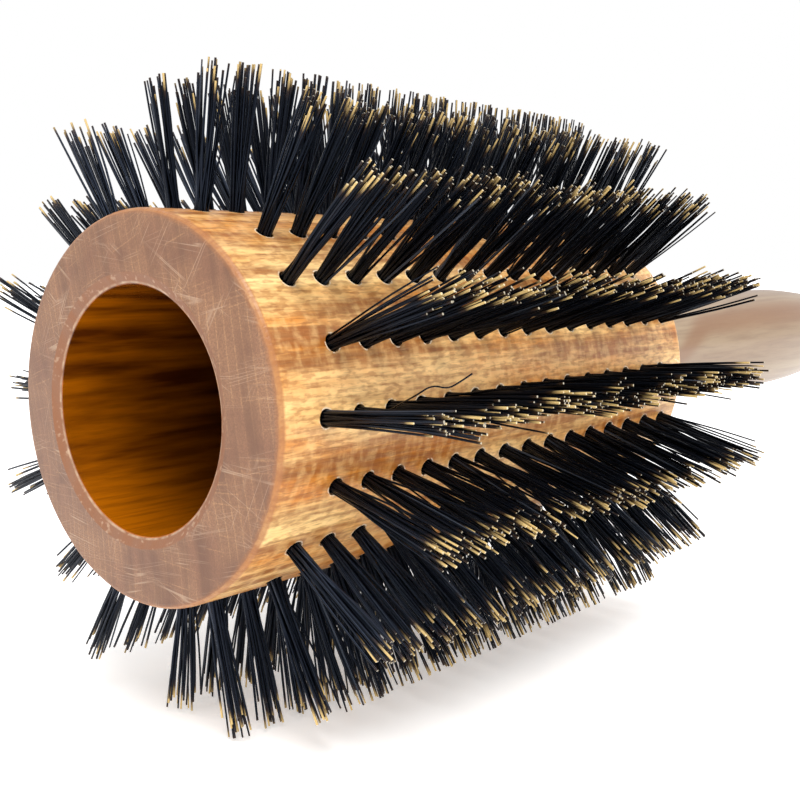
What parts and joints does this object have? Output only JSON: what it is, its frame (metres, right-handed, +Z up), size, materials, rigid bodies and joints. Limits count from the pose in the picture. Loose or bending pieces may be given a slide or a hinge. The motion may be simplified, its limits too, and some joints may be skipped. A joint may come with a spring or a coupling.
{
  "type": "round barrel hair brush",
  "caption": "Round hair brush: a hollow turned wooden barrel with staggered rows of dark bristle tufts all round it and a turned wooden handle.",
  "frame": {"origin": "on the brush's axis, at the foremost ring of the barrel's open mouth", "axes": "+X along the axis from the open mouth towards the butt of the handle; +Z up with the brush lying level on its bristles; +Y to the left of +X"},
  "size_m": [0.23, 0.073, 0.0726],
  "materials": {
    "barrel_wood": "satin",
    "handle_wood": "satin",
    "bristle": "satin",
    "anchor_wire": "satin"
  },
  "bodies": {
    "root": {"barrel": "barrel_wood", "handle": "handle_wood", "tuft_row_01": "bristle", "tuft_row_02": "bristle", "tuft_row_03": "bristle", "tuft_row_04": "bristle", "tuft_row_05": "bristle", "tuft_row_06": "bristle", "tuft_row_07": "bristle", "tuft_row_08": "bristle", "tuft_row_09": "bristle", "tuft_row_10": "bristle", "tuft_row_11": "bristle", "tuft_row_12": "bristle", "tuft_row_13": "bristle", "tuft_row_14": "bristle", "tuft_row_15": "bristle", "tuft_row_16": "bristle", "tuft_row_17": "bristle", "tuft_row_18": "bristle", "anchor_row_01": "anchor_wire", "anchor_row_02": "anchor_wire", "anchor_row_03": "anchor_wire", "anchor_row_04": "anchor_wire", "anchor_row_05": "anchor_wire", "anchor_row_06": "anchor_wire", "anchor_row_07": "anchor_wire", "anchor_row_08": "anchor_wire", "anchor_row_09": "anchor_wire", "anchor_row_10": "anchor_wire", "anchor_row_11": "anchor_wire", "anchor_row_12": "anchor_wire", "anchor_row_13": "anchor_wire", "anchor_row_14": "anchor_wire", "anchor_row_15": "anchor_wire", "anchor_row_16": "anchor_wire", "anchor_row_17": "anchor_wire", "anchor_row_18": "anchor_wire"}
  },
  "joints": []
}
